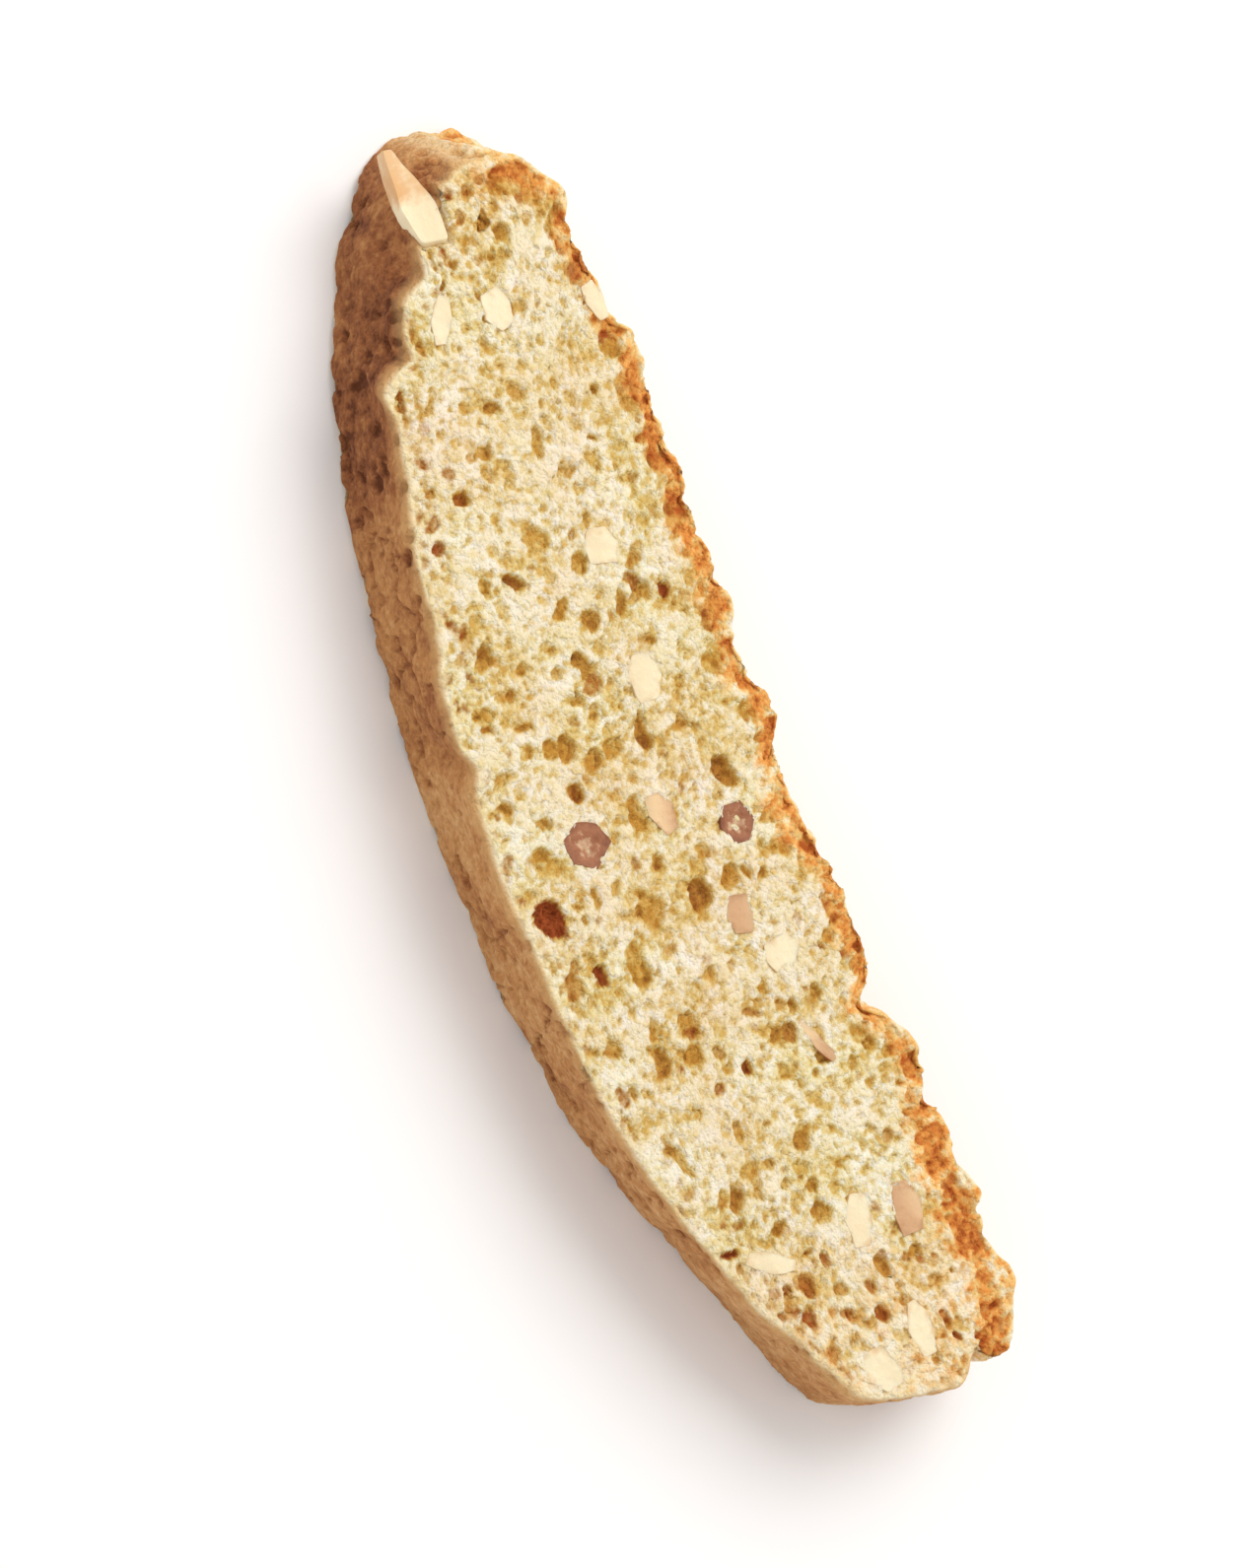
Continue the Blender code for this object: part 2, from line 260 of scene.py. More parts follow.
body = {
    "topRings": 52,
    "bottomRings": 22,
    "ringPower": 0.92,  # below 1 crowds the rings towards the rim
    "rimRows": 4,
    "sideRows": 22,
    "domeRim": 0.85,  # radius of the rounded edge on the dome side
    "baseRim": 0.45,
    "deepest": 2.6,  # no hole goes further below the smooth surface
    "highest": 0.25,  # no crumb stands further above the cut face
}


# every row runs once round the slice. Rows spread from the middle line over the upper face, turn
# over a quarter-round rim, run down the crust, turn under, and close on the lower middle line
def bodyRows():
    rim = body["baseRim"] + (body["domeRim"] - body["baseRim"]) * (1 - baseShare)
    turn = np.linspace(0, math.pi / 2, body["rimRows"] + 1)
    rows = []

    def addRow(height, inset, radial, up, sideways, crusty):
        edge = outline + outward * (crustOffset(height) - inset)[:, None]
        flat = middle + (edge - middle) * radial
        heights = np.zeros(count) + height
        spots = np.column_stack([flat[:, 0] - biasShift(flat[:, 0], heights), flat[:, 1], heights])
        normal = np.column_stack([outward * sideways, np.full(count, up)])
        toEdge = np.linalg.norm(edge - flat, axis=1) + inset
        rows.append((spots, normal, toEdge, np.full(count, crusty)))

    for radial in np.linspace(0, 1, body["topRings"]) ** body["ringPower"]:
        addRow(thickness, rim, radial, 1.0, 0.0, 0.0)
    for a in turn[1:]:
        s, c = math.sin(a), math.cos(a)
        addRow(thickness - rim * (1 - c), rim * (1 - s), 1.0, c, s, s)
    for share in np.linspace(0, 1, body["sideRows"] + 2)[1:-1]:
        addRow((thickness - rim) * (1 - share) + rim * share, 0.0, 1.0, 0.0, 1.0, 1.0)
    for a in turn[::-1][:-1]:
        s, c = math.sin(a), math.cos(a)
        addRow(rim * (1 - c), rim * (1 - s), 1.0, -c, s, s)
    for radial in np.linspace(1, 0, body["bottomRings"]) ** body["ringPower"]:
        addRow(0.0, rim, radial, -1.0, 0.0, 0.0)
    return [np.stack(part) for part in zip(*rows)]


spots, normals, toEdge, zone = bodyRows()
rowCount = len(spots)
points = spots.reshape(-1, 3)
normals = normals.reshape(-1, 3)
toEdge = toEdge.ravel()
zone = zone.ravel()  # 0 on the cut faces, 1 on the crust
base = np.tile(baseShare, rowCount)
print("slice grid:", rowCount, "rows of", count)


almonds = {
    "total": 29,
    "blanched": [1, 2, 3, 4, 5, 10, 13, 14, 15, 16, 17, 19, 20, 22, 24, 25, 29],
    "toasted": [6, 9, 11, 12, 18, 21, 23, 26, 27, 28],
    "brownSkin": [7, 8],
    "inLowerFace": range(17, 26),
    "inBaseSide": range(26, 29),
    "acrossEnd": 29,  # the long one that lies over the left end, sloping down outwards
    "endSlope": -16.0,
    "proud": -0.04,  # how far a cut nut stands out of the crumb; below 0 it is sunk
    "overlap": (-0.4, -0.1),  # crumbs reach this far in over the nut's edge
    "seat": 0.4,  # the dough under a cut face lies this far below it
    "endOverlap": (0.25, 0.7),  # the dough stays clear of the one across the end
    "endSeat": 1.1,
    "facing": 0.3,  # only dough that faces the nut's way is lowered: least cosine
    "endFacing": -0.2,
    "fray": (0.22, 0.9),  # how far noise moves the hollow's edge, and its size
    "paleSink": 0.15,  # the crumb that meets a nut is coloured as if this deep
    "around": 56,  # points round a nut
}


# the three rings of corners of an almond's frame solid, in order round its cut face's normal.
# The rings go by depth below the cut face, and the corners by their angle about the ring's middle
def almondRings(node):
    spots = np.array([v.co for v in frame["nodes"][node].data.vertices]) / mm
    spots = np.unique(np.round(spots, 3), axis=0)
    number = int(node[-2:])
    normal = np.array([0.0, 0.0, 1.0])
    if number in almonds["inLowerFace"]:
        normal = np.array([0.0, 0.0, -1.0])
    elif number in almonds["inBaseSide"]:
        normal = np.array([0.0, 1.0, 0.0])
    elif number == almonds["acrossEnd"]:
        slope = math.radians(almonds["endSlope"])
        normal = np.array([math.sin(slope), 0.0, math.cos(slope)])
    deep = spots[np.argsort(-(spots @ normal))].reshape(3, -1, 3)
    # any direction well off the normal does to measure angles from
    side = np.cross(normal, [0.31, 0.17, 0.93] if abs(normal[2]) < 0.5 else [1.0, 0.0, 0.0])
    side /= np.linalg.norm(side)
    other = np.cross(normal, side)
    rings = []
    for ring in deep:
        away = ring - ring.mean(axis=0)
        rings.append(ring[np.argsort(np.arctan2(away @ other, away @ side))])
    return rings, normal


allNames = [f"almond_{number:02d}" for number in range(1, almonds["total"] + 1)]
allAlmonds = {name: almondRings(name) for name in allNames}
acrossEnd = f"almond_{almonds['acrossEnd']:02d}"
print("almonds read:", len(allAlmonds))


pores = {
    "seed": 5,
    # bubbles in the cut faces: how many, smallest, largest, and depth as a share of size
    "large": (230, 1.5, 2.6, (0.12, 0.3)),
    "middle": (3500, 0.8, 1.6, (0.1, 0.32)),
    "small": (7500, 0.5, 0.95, (0.12, 0.36)),
    "under": (1500, 1.4, 3.2, (0.12, 0.32)),
    "faceX": (-66, 66),  # the field they are scattered over
    "faceY": (-20, 15),
    "roundness": (0.62, 1.0),  # width as a share of length
    "turnSpread": 0.6,  # radians
    "faceTone": (0.35, 0.22),  # middle and spread; above about 0.5 a hole is browned
    # bubbles in the crust: how many, smallest, largest; the first lie in the cut face near it
    "rim": (620, 1.0, 2.4),
    "rimInset": (0.0, 2.4),
    "baseCrust": (1500, 1.0, 2.8),
    "domeCrust": (260, 0.8, 1.8),
    "crustDepth": (0.14, 0.36),
    "crustTone": (0.5, 0.25),
    "sizePower": 1.6,  # above 1 gives more small ones than large ones
    "lip": 1.7,  # the larger, the steeper the walls and the wider the floor
    "reachDown": 1.6,  # a bubble ends this many depths below the surface
    "bendSizes": (1.4, 0.7),  # sizes of the noises that bend the outlines
    "largeBend": 0.4,  # how far they bend them
    "middleBend": 0.3,
    "smallBend": 0.15,
    "crustBend": 0.35,
    "heroScale": (1.08, 1.08, 0.58),  # on the length, width and depth listed below
    "shares": (0.9, 0.85, 1.0),  # of the large, middle and small ones in the sum
}
# a pocket that has held an almond: ridges run to its middle and fade out between two radii
pocket = {
    "x": 8.3,
    "y": -16.0,
    "fade": (1.2, 2.4),
    "ridges": 11,
    "height": 0.34,
    "waver": (0.5, 1.5, 57),  # in radians, and the size and seed of its noise
}
# fine cracks in the dome's skin: size of the net, width as a share, size of the patches
cracks = {"size": 5.0, "width": 0.07, "patch": 9.0, "patchEdge": (-0.1, 0.4), "depth": 0.4}
# the pale band along the dome's edge has few pores
paleBand = {"from": 0.3, "to": 1.3, "closed": 0.7}
# where the crust begins, and the share of a cut face's hole that is left there
rimMeets = {"zone": 0.75, "left": 0.6}
# crumbs: strength, size, layers and seed of the fine noise, strength, size and seed of the broad
# one, and how much rougher the crust is: crust * (base + the share of base)
rough = {"fine": (0.24, 1.5, 3, 31), "broad": (0.14, 4.0, 34), "crust": 0.6, "base": 0.4}

# the larger holes of the upper face: x, y, length, width, depth, turn in degrees, tone 0..1
heroPores = [
    (-54.0, 5.2, 1.8, 1.5, 1.2, 0, 0.3),
    (-56.0, 9.0, 1.2, 1.1, 0.9, 0, 0.3),
    (-51.5, 0.8, 1.2, 1.2, 0.9, 0, 0.4),
    (-50.0, -1.3, 2.0, 0.7, 0.9, -30, 0.5),
    (-58.0, 2.7, 1.5, 1.2, 0.9, 0, 0.9),
    (-37.4, -1.3, 1.3, 1.8, 1.3, 0, 0.4),
    (-33.0, 1.5, 4.0, 1.5, 1.3, -8, 0.3),
    (-40.5, -6.8, 3.5, 0.8, 0.8, -25, 0.4),
    (-41.5, -9.5, 2.0, 0.7, 0.8, -20, 0.5),
    (-31.0, -7.7, 1.6, 1.8, 1.7, 20, 0.7),
    (-24.5, -2.5, 2.8, 2.8, 0.8, 0, 0.2),
    (-29.5, 6.0, 2.8, 1.2, 1.1, 8, 0.3),
    (-27.5, 3.5, 2.0, 1.6, 0.9, 50, 0.1),
    (-16.0, 3.0, 3.0, 1.0, 1.0, -5, 0.3),
    (-15.8, -0.7, 2.5, 1.8, 1.4, 0, 0.3),
    (-12.3, -3.1, 3.4, 1.8, 1.5, 8, 0.3),
    (-9.5, -4.8, 2.0, 1.0, 1.0, 10, 0.4),
    (-21.7, -6.3, 2.0, 1.6, 1.9, 55, 0.6),
    (-22.5, -9.3, 1.4, 1.5, 1.2, 60, 0.4),
    (-15.5, 7.7, 1.5, 1.4, 1.3, 30, 0.9),
    (-16.5, -12.0, 3.0, 1.5, 1.3, -28, 0.4),
    (-14.3, -9.0, 1.5, 1.2, 0.9, 0, 0.5),
    (-12.3, -11.0, 1.4, 1.4, 1.2, 0, 0.4),
    (-9.0, -11.0, 1.4, 2.2, 1.2, 10, 0.3),
    (-7.0, -12.0, 1.6, 1.3, 1.0, 0, 0.4),
    (-10.3, -14.5, 1.5, 1.1, 1.2, 0, 0.5),
    (-5.5, -15.0, 1.5, 2.5, 1.3, 15, 0.3),
    (-27.7, -12.0, 1.5, 1.7, 1.3, 20, 0.7),
    (-30.8, -13.0, 1.0, 1.2, 1.0, 0, 0.5),
    (-5.5, -8.2, 3.2, 1.8, 1.5, -25, 0.4),
    (-1.3, -8.8, 2.2, 1.5, 1.8, 50, 0.6),
    (2.5, 6.0, 4.2, 2.0, 1.7, 15, 0.5),
    (-4.2, -0.2, 3.4, 1.3, 1.5, -15, 0.3),
    (7.9, 8.2, 1.6, 1.6, 1.3, 0, 0.5),
    (12.0, -1.3, 3.8, 2.5, 2.0, 0, 0.4),
    (7.3, -4.0, 1.8, 0.8, 0.9, 0, 0.4),
    (-3.5, -4.0, 2.0, 1.2, 1.0, 0, 0.3),
    (11.5, -6.3, 3.5, 2.5, 0.9, 0, 0.1),
    (8.3, -16.0, 4.4, 2.9, 2.2, 10, 1.0),
    (16.0, -10.0, 5.0, 2.0, 1.2, -5, 0.3),
    (8.5, -11.2, 2.5, 1.0, 1.0, 0, 0.4),
    (15.3, -13.5, 1.8, 1.2, 1.6, 0, 0.9),
    (15.0, -16.5, 3.0, 1.8, 1.1, 0, 0.4),
    (25.3, -11.5, 2.2, 1.8, 1.4, 0, 0.4),
    (22.0, -15.5, 2.3, 2.1, 1.2, 0, 0.4),
    (26.5, -15.3, 1.5, 1.0, 0.9, 0, 0.4),
    (22.3, -7.7, 1.5, 1.5, 1.1, 0, 0.3),
    (28.7, -3.7, 1.8, 1.6, 1.8, 0, 0.8),
    (34.0, -7.3, 2.0, 1.2, 1.1, 0, 0.4),
    (37.3, -1.5, 2.3, 1.8, 1.4, 0, 0.4),
    (41.5, -2.3, 1.5, 1.5, 1.2, 0, 0.4),
    (43.8, -2.5, 2.0, 2.5, 1.4, 0, 0.3),
    (43.8, -7.0, 1.8, 1.3, 1.2, 0, 0.4),
    (47.0, -5.2, 1.0, 1.0, 1.0, 0, 0.5),
    (39.8, -10.0, 2.5, 1.8, 1.4, 0, 0.5),
    (34.0, -13.5, 5.0, 1.3, 1.1, 15, 0.4),
    (38.5, -15.5, 1.6, 1.0, 0.9, 0, 0.5),
    (44.0, -12.8, 1.2, 2.0, 1.6, 0, 0.9),
    (50.0, -6.7, 2.4, 1.2, 1.3, 0, 0.6),
    (53.0, -7.8, 2.0, 1.2, 1.3, 0, 0.9),
    (49.2, -8.7, 1.2, 1.2, 1.1, 0, 0.6),
    (51.5, -4.0, 1.3, 1.3, 1.1, 0, 0.5),
    (54.3, -3.8, 1.5, 1.3, 1.1, 0, 0.6),
    (55.5, -1.0, 2.0, 1.3, 1.3, 0, 0.6),
    (51.3, 1.2, 2.2, 1.5, 1.3, 0, 0.4),
    (51.2, 4.8, 1.8, 1.6, 1.2, 0, 0.4),
    (50.5, 9.3, 2.0, 0.8, 1.0, 0, 0.5),
    (54.7, 7.5, 1.0, 1.0, 1.0, 0, 0.6),
    (58.3, 4.9, 1.1, 1.0, 1.0, 0, 0.9),
    (60.3, 5.4, 1.0, 1.0, 1.0, 0, 0.9),
    (61.0, 7.2, 1.2, 1.0, 1.0, 0, 0.9),
    (35.2, 7.3, 1.6, 1.1, 1.1, 0, 0.4),
    (25.0, 6.0, 1.3, 1.2, 1.0, 0, 0.4),
    (25.2, 3.0, 2.0, 0.7, 0.9, 0, 0.3),
    (22.4, 1.1, 1.5, 1.0, 0.9, 0, 0.3),
    (27.0, 0.4, 1.5, 1.3, 1.1, 0, 0.4),
    (32.0, 2.5, 1.0, 1.0, 0.9, 0, 0.4),
    (12.8, 5.8, 1.1, 1.1, 0.9, 0, 0.4),
    (12.0, 4.2, 1.6, 0.8, 0.9, 0, 0.4),
    (20.5, 9.2, 1.5, 1.3, 1.1, 0, 0.5),
    (16.5, 7.3, 1.0, 1.0, 0.9, 0, 0.5),
    (18.5, -0.7, 1.0, 1.0, 0.9, 0, 0.4),
    (19.3, -3.5, 1.8, 1.0, 1.0, 0, 0.4),
    (-40.0, 12.0, 2.4, 1.4, 1.2, 0, 0.9),
    (-22.5, 12.5, 2.2, 1.6, 1.2, 0, 1.0),
    (-5.0, 11.4, 2.6, 1.5, 1.2, 0, 0.9),
]


# bubbles scattered over a cut face. Columns: x, y, z, length, width, depth, turn, tone
def scatterFace(dice, kind, height):
    amount, smallest, largest, depthShare = pores[kind]
    size = smallest + (largest - smallest) * dice.random(amount) ** pores["sizePower"]
    x, y = (dice.uniform(*pores[side], amount) for side in ("faceX", "faceY"))
    width = size * dice.uniform(*pores["roundness"], amount)
    depth = size * dice.uniform(*depthShare, amount)
    turn = np.degrees(dice.normal(0, pores["turnSpread"], amount))
    tone = np.clip(dice.normal(*pores["faceTone"], amount), 0, 1)
    return np.column_stack([x, y, np.full(amount, height), size, width, depth, turn, tone])


# bubbles in the crust, or in the cut face within reach of it when inset is given
def scatterCrust(dice, kind, weight, inset=None):
    amount, smallest, largest = pores[kind]
    place = dice.choice(count, amount, p=weight / weight.sum())
    size = smallest + (largest - smallest) * dice.random(amount) ** pores["sizePower"]
    depth = size * dice.uniform(*pores["crustDepth"], amount)
    turn = np.degrees(np.arctan2(tangent[place, 1], tangent[place, 0]))
    tone = np.clip(dice.normal(*pores["crustTone"], amount), 0, 1)
    height, spots = dice.uniform(0, thickness, amount), outline[place]
    if inset:
        height = np.full(amount, thickness)
        spots = spots - outward[place] * dice.uniform(*inset, amount)[:, None]
    spotX = spots[:, 0] - biasShift(spots[:, 0], height)
    return np.column_stack([spotX, spots[:, 1], height, size, size, depth, turn, tone])


# depth below the smooth surface: q is lip * (1 - distance squared), at most 1, with the distance
# in shares of a bubble's half sizes, and its dish is depth * q * q * (3 - 2q): a worn lip and a
# flat floor. Noise bends the outlines, and where dishes meet the deeper one holds. Upright dishes
# go down from a cut face, the others go in from the crust
def poreDepth(points, table, upright, bendMm):
    coarse, fine = pores["bendSizes"]
    bend = bendMm * np.column_stack([latticeNoise(points, coarse, s) for s in (21, 22, 23)])
    bend += 0.5 * bendMm * np.column_stack([latticeNoise(points, fine, s) for s in (24, 25, 26)])
    bent = points + bend
    depth, tone = np.zeros(len(points)), np.zeros(len(points))
    order = np.argsort(bent[:, 0])
    sortedX = bent[order, 0]
    for x, y, z, length, width, deep, turn, shade in table:
        reach, down = max(length, width) / 2, deep * pores["reachDown"]
        first, last = np.searchsorted(sortedX, (x - reach, x + reach))
        near = order[first:last]
        away = bent[near] - (x, y, z)
        c, s = math.cos(math.radians(turn)), math.sin(math.radians(turn))
        along = (away[:, 0] * c + away[:, 1] * s) / (length / 2)
        across = (away[:, 1] * c - away[:, 0] * s) / (width / 2 if upright else down)
        through = away[:, 2] / (down if upright else width / 2)
        q = np.clip(1 - along**2 - across**2 - through**2, 0, None)
        q = np.minimum(pores["lip"] * q, 1)
        dish = deep * q * q * (3 - 2 * q)
        better = dish > depth[near]
        depth[near] = np.where(better, dish, depth[near])
        tone[near] = np.where(better, shade, tone[near])
    return depth, tone


dice = np.random.default_rng(pores["seed"])
hero = np.array(heroPores)
heroTable = np.column_stack([hero[:, :2], np.full(len(hero), thickness), hero[:, 2:]])
heroTable[:, 3:6] *= pores["heroScale"]
large = scatterFace(dice, "large", thickness)
middleSized = scatterFace(dice, "middle", thickness)
small = scatterFace(dice, "small", thickness)
inRim = scatterCrust(dice, "rim", baseShare**2, pores["rimInset"])
under = scatterFace(dice, "under", 0.0)
under[:, 0] -= loaf["biasShift"]
inBase = scatterCrust(dice, "baseCrust", baseShare)
inDome = scatterCrust(dice, "domeCrust", 1 - baseShare)

largeTable = np.concatenate([heroTable, large, inRim])
crustTable = np.concatenate([inBase, inDome])
largeDepth, largeTone = poreDepth(points, largeTable, True, pores["largeBend"])
middleDepth, middleTone = poreDepth(points, middleSized, True, pores["middleBend"])
smallDepth = poreDepth(points, small, True, pores["smallBend"])[0]
underDepth, underTone = poreDepth(points, under, True, pores["largeBend"])
sideDepth, sideTone = poreDepth(points, crustTable, False, pores["crustBend"])

# the pocket's ridges: a cosine of the angle about its middle
pocketAway = points - (pocket["x"], pocket["y"], thickness)
strength, size, seed = pocket["waver"]
pocketTurn = np.arctan2(pocketAway[:, 1], pocketAway[:, 0])
pocketTurn += strength * latticeNoise(points, size, seed)
inPocket = 1 - smoothStep(np.linalg.norm(pocketAway, axis=1), *pocket["fade"])
largeDepth += inPocket * pocket["height"] * np.cos(pocket["ridges"] * pocketTurn)

# sizes add up, so that there are pores inside pores
largeShare, middleSizedShare, smallShare = pores["shares"]
topDepth = largeShare * largeDepth + middleSizedShare * middleDepth + smallShare * smallDepth
topTone = np.where(largeDepth > middleDepth, largeTone, middleTone)

# the cracks are narrow valleys where a noise passes through 0
crack = 1 - smoothStep(np.abs(layeredNoise(points, cracks["size"], 2, 51)), 0.0, cracks["width"])
crack *= smoothStep(latticeNoise(points, cracks["patch"], 53), *cracks["patchEdge"])
crack *= (1 - base) * zone
sideDepth = np.maximum(sideDepth, cracks["depth"] * crack)

domeBand = (1 - base) * (zone < 0.9) * (1 - smoothStep(toEdge, paleBand["from"], paleBand["to"]))
pit = np.maximum(topDepth, underDepth) * (1 - paleBand["closed"] * domeBand)
tone = np.where(topDepth > underDepth, topTone, underTone)
# on the crust the side's own holes lead, and round the rim the two kinds meet
onCrust = np.maximum(sideDepth, pit * rimMeets["left"])
pit = np.where(zone > rimMeets["zone"], onCrust, np.maximum(pit, sideDepth * zone))
tone = np.where(sideDepth > pit * 0.99, sideTone, tone)

strength, size, layers, seed = rough["fine"]
crumbs = strength * layeredNoise(points, size, layers, seed)
strength, size, seed = rough["broad"]
crumbs += strength * latticeNoise(points, size, seed)
sink = pit - crumbs * (1 + rough["crust"] * zone * (rough["base"] + base))

# under each cut face the dough is hollowed out, so that no crumb stands through the nut: the
# distance outside the polygon is the largest of those outside its edges, and an S curve of it
# lowers the dough
uncut = points  # the smooth surface
moved = points + (loaf["moveX"], loaf["moveY"], 0)
hollow = np.zeros(len(points))
fray = almonds["fray"][0] * latticeNoise(moved, almonds["fray"][1], 55)
for name, (rings, normal) in allAlmonds.items():
    seat, overlap, facingLeast = almonds["seat"], almonds["overlap"], almonds["facing"]
    if name == acrossEnd:
        seat, overlap = almonds["endSeat"], almonds["endOverlap"]
        facingLeast = almonds["endFacing"]
    facing = normals @ normal > facingLeast
    corners = rings[0]
    outside = np.full(len(points), -9.0) + fray
    for a, b in zip(corners, np.roll(corners, -1, axis=0)):
        edgeNormal = np.cross(b - a, normal)
        edgeNormal /= np.linalg.norm(edgeNormal)
        outside = np.maximum(outside, (moved - a) @ edgeNormal + fray)
    above = (moved - corners[0]) @ normal  # how far the smooth surface is above the cut plane
    sinkHere = (seat + above) * (1 - smoothStep(outside, *overlap))
    hollow = np.where(facing, np.maximum(hollow, sinkHere), hollow)
underNut = hollow > 0.3
sink = np.maximum(sink, hollow)
points = points - normals * np.minimum(sink, body["deepest"])[:, None]
# the lower face stays on the surface that the slice rests on
points[:, 2] = np.clip(points[:, 2], 0.0, thickness + body["highest"])
sink = np.where(underNut, almonds["paleSink"], sink)
poreTables = (largeTable, middleSized, small, under, crustTable)
print("pores cut:", sum(map(len, poreTables)))

browning = {
    "ragged": (3.0, 3, 41),  # size, layers and seed of the noise that breaks the band up
    "width": 2.6,  # of the browned band along the base
    "raggedWidth": 1.6,  # how much the noise adds to it
    "wider": (2.6, 30, 46),  # by how much, and between which X, the right end adds
    "fade": (0.5, 1.3),  # shares of the width between which the band fades out
    "rightGlow": (0.5, 42, 62),  # how browned the ends are, and between which X it rises
    "leftGlow": (0.45, -62, -50),
    "glowRagged": (0.6, 0.7),
    "rightTone": (0.16, 38, 60),  # pores near the right end have browned more
    "domeTone": (0.3, 2.0, 5.5),  # and so have those within reach of the dome's edge
}
ragged = layeredNoise(uncut, *browning["ragged"])
onFace = zone < 0.5


# an S curve along X, times its strength
def ramp(key):
    strength, low, high = browning[key]
    return strength * smoothStep(uncut[:, 0], low, high)


bandWidth = browning["width"] + browning["raggedWidth"] * ragged + ramp("wider")
fadeFrom, fadeTo = browning["fade"]
toast = base * (1 - smoothStep(toEdge, bandWidth * fadeFrom, bandWidth * fadeTo))
endGlow = ramp("rightGlow") + browning["leftGlow"][0] - ramp("leftGlow")
steady, broken = browning["glowRagged"]
toast = np.maximum(toast, endGlow * (steady + broken * ragged) * onFace)
toast = np.where(zone > 0.5, base, toast)
strength, nearest, furthest = browning["domeTone"]
nearDome = strength * (1 - base) * (1 - smoothStep(toEdge, nearest, furthest))
tone = np.clip(tone + (ramp("rightTone") + nearDome) * onFace, 0, 1)

# the rows as faces: the first and the last row are folded shut along the middle line
bodyColumns = np.arange(count)
index = np.arange(rowCount * count).reshape(rowCount, count)
shared = np.minimum(bodyColumns, (count - bodyColumns) % count)
index[0] = index[0][shared]
index[-1] = index[-1][shared]
after = np.roll(index, -1, axis=1)
quads = np.stack([index[:-1], index[1:], after[1:], after[:-1]], axis=-1).reshape(-1, 4)
used, packed = np.unique(quads, return_inverse=True)
faces = packed.reshape(-1, 4).tolist()
points[:, 0] += loaf["moveX"]
points[:, 1] += loaf["moveY"]
shading = {"pit": sink, "tone": tone, "toast": toast}
shading.update({"crust": zone, "baseSide": base, "toEdge": toEdge})
shading = {key: values[used] for key, values in shading.items()}
biscotto = gridMesh("biscottoBody", points[used], faces, shading)
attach(biscotto, "root")
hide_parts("biscotto")
print("body:", len(used), "points,", len(faces), "faces")


dough = {
    # crumb colours from the ridges between the pores down to the deepest pores: the crumb's own
    # cream and ochre, with painted highlight on the palest ridges and painted shade darkening the
    # deep pores
    "crumb": [
        (0.0, "#fcf6e8"),
        (0.15, "#f6edd8"),
        (0.24, "#eddcae"),
        (0.36, "#dfc077"),
        (0.55, "#cd9b45"),
        (1.0, "#9c5f28"),
    ],
    "butter": "#f0e3a8",
    "blush": "#f8dcc8",
    "brownHole": "#a04c20",
    # crust colours from a painted highlight on its lumps down to painted shade in its hollows,
    # over its baked orange-brown
    "toasted": [(0.22, "#fde6bc"), (0.46, "#f8c679"), (0.7, "#ea9a48"), (1.0, "#b65c22")],
    # the dome's skin, its baked tan darkened and reddened towards how its shaded side looks:
    # partly painted shade and painted bounce light
    "dome": [(0.1, "#dfae76"), (0.42, "#c58a52"), (0.72, "#9c5f36"), (1.0, "#663519")],
    "goldLitDomeEdge": "#dfb174",
    "paleLitEdge": "#f3dfb0",
    "ridgeMm": -0.25,  # the crumb colours run from this height, a ridge, down to deepMm
    "deepMm": 1.5,
    "mottleMm": (2.4, 2),  # size and detail of each noise
    "gritMm": (1.2, 3),
    "fineMm": (0.55, 3),
    "broadMm": (9.0, 3),
}
